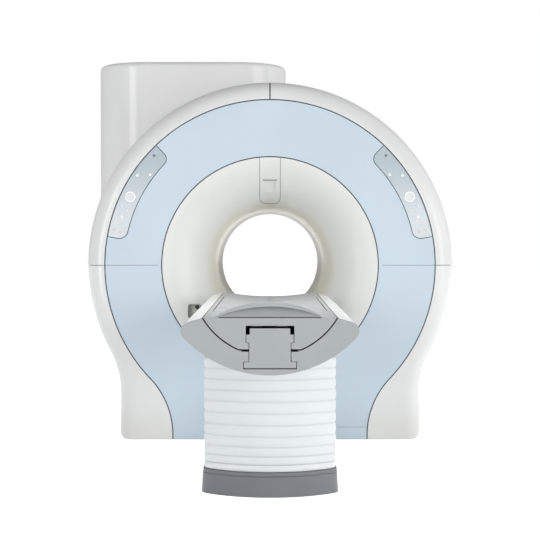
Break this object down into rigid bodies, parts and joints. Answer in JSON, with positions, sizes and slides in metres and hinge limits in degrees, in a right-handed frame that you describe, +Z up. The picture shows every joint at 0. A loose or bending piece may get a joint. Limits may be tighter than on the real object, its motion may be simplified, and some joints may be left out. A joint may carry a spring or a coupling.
{
  "type": "mri scanner",
  "caption": "Closed-bore MRI scanner: round covered magnet with flared bore, rear tower, control panels, and a patient table that lifts on a bellows column and slides its board in.",
  "frame": {"origin": "on the floor straight below the middle of the bore", "axes": "+X to the right seen from the table end, +Y along the bore away from the table, +Z up"},
  "size_m": [2.042, 3.8, 2.15],
  "materials": {
    "white_cover": "satin moulded cover",
    "blue_panel": "satin light blue",
    "cream_liner": "satin",
    "panel_grey": "smooth grey overlay",
    "button_white": "smooth",
    "lamp": "smooth",
    "table_grey": "smooth grey",
    "glide": "smooth",
    "bellows_white": "pleated coated cloth",
    "plinth_grey": "fine textured paint",
    "dark_socket": "moulded",
    "steel": "machined",
    "aluminium_part": "machined",
    "winding": "copper winding",
    "resin": "cast resin",
    "ground_steel": "ground",
    "drive_grey": "painted"
  },
  "bodies": {
    "gantry": {"base_frame": "steel", "bellows": "bellows_white", "bore_liner": "cream_liner", "bore_rails": "glide", "coil_former": "aluminium_part", "cold_head": "aluminium_part", "column_outer": "aluminium_part", "connector_pocket": "dark_socket", "control_panel_left": "panel_grey", "control_panel_right": "panel_grey", "cover_frames": "steel", "face_panel_lower": "blue_panel", "face_panel_upper": "blue_panel", "floor_duct": "white_cover", "front_bell_mouth": "cream_liner", "front_shell_lower_left": "white_cover", "front_shell_lower_right": "white_cover", "front_shell_upper_left": "white_cover", "front_shell_upper_right": "white_cover", "gradient_coil": "resin", "helium_vessel": "steel", "kick_plate": "blue_panel", "lift_cylinder": "ground_steel", "light_cover": "white_cover", "light_window": "lamp", "magnet_coils": "winding", "panel_lamps": "lamp", "plinth": "plinth_grey", "radio_coil_former": "resin", "radio_coil_rungs": "winding", "rear_bell_mouth": "cream_liner", "rear_shell_left": "white_cover", "rear_shell_right": "white_cover", "service_turret": "steel", "side_cover_left": "white_cover", "side_cover_right": "white_cover", "suspension_rods": "steel", "table_base_plate": "steel", "thermal_shield": "aluminium_part", "tower_cover": "white_cover", "vacuum_vessel": "steel"},
    "lift_stage": {"column_middle": "aluminium_part", "lift_sleeve": "ground_steel"},
    "table": {"column_inner": "aluminium_part", "lift_rod": "ground_steel", "bellows_collar": "white_cover", "table_hull": "white_cover", "table_end_cap": "table_grey", "slotted_beam": "aluminium_part", "board_drive": "drive_grey"},
    "shuttle": {"shuttle": "table_grey", "shuttle_glides": "glide"},
    "board": {"board": "table_grey", "board_handle": "table_grey"},
    "down_button_left": {"down_button_left": "button_white"},
    "down_button_right": {"down_button_right": "button_white"},
    "home_button_left": {"home_button_left": "button_white"},
    "home_button_right": {"home_button_right": "button_white"},
    "up_button_left": {"up_button_left": "button_white"},
    "up_button_right": {"up_button_right": "button_white"}
  },
  "joints": [
    {"name": "table_lift", "type": "slide", "parent": "gantry", "child": "table", "axis": [0, 0, 1], "range_m": [-0.3, 0], "deforming": ["bellows"]},
    {"name": "stage_lift", "type": "slide", "parent": "gantry", "child": "lift_stage", "axis": [0, 0, 1], "range_m": [-0.15, 0]},
    {"name": "shuttle_slide", "type": "slide", "parent": "table", "child": "shuttle", "axis": [0, 1, 0], "range_m": [0, 0.9]},
    {"name": "board_slide", "type": "slide", "parent": "shuttle", "child": "board", "axis": [0, 1, 0], "range_m": [0, 0.9]},
    {"name": "down_press_left", "type": "slide", "parent": "gantry", "child": "down_button_left", "axis": [0, 1, 0], "range_m": [0, 0.0015], "stiffness_N_per_m": 400},
    {"name": "down_press_right", "type": "slide", "parent": "gantry", "child": "down_button_right", "axis": [0, 1, 0], "range_m": [0, 0.0015], "stiffness_N_per_m": 400},
    {"name": "home_press_left", "type": "slide", "parent": "gantry", "child": "home_button_left", "axis": [0, 1, 0], "range_m": [0, 0.0015], "stiffness_N_per_m": 600},
    {"name": "home_press_right", "type": "slide", "parent": "gantry", "child": "home_button_right", "axis": [0, 1, 0], "range_m": [0, 0.0015], "stiffness_N_per_m": 600},
    {"name": "up_press_left", "type": "slide", "parent": "gantry", "child": "up_button_left", "axis": [0, 1, 0], "range_m": [0, 0.0015], "stiffness_N_per_m": 400},
    {"name": "up_press_right", "type": "slide", "parent": "gantry", "child": "up_button_right", "axis": [0, 1, 0], "range_m": [0, 0.0015], "stiffness_N_per_m": 400}
  ],
  "couplings": [
    {"joint": "stage_lift", "follows": "table_lift", "ratio": 0.5},
    {"joint": "board_slide", "follows": "shuttle_slide", "ratio": 1}
  ]
}
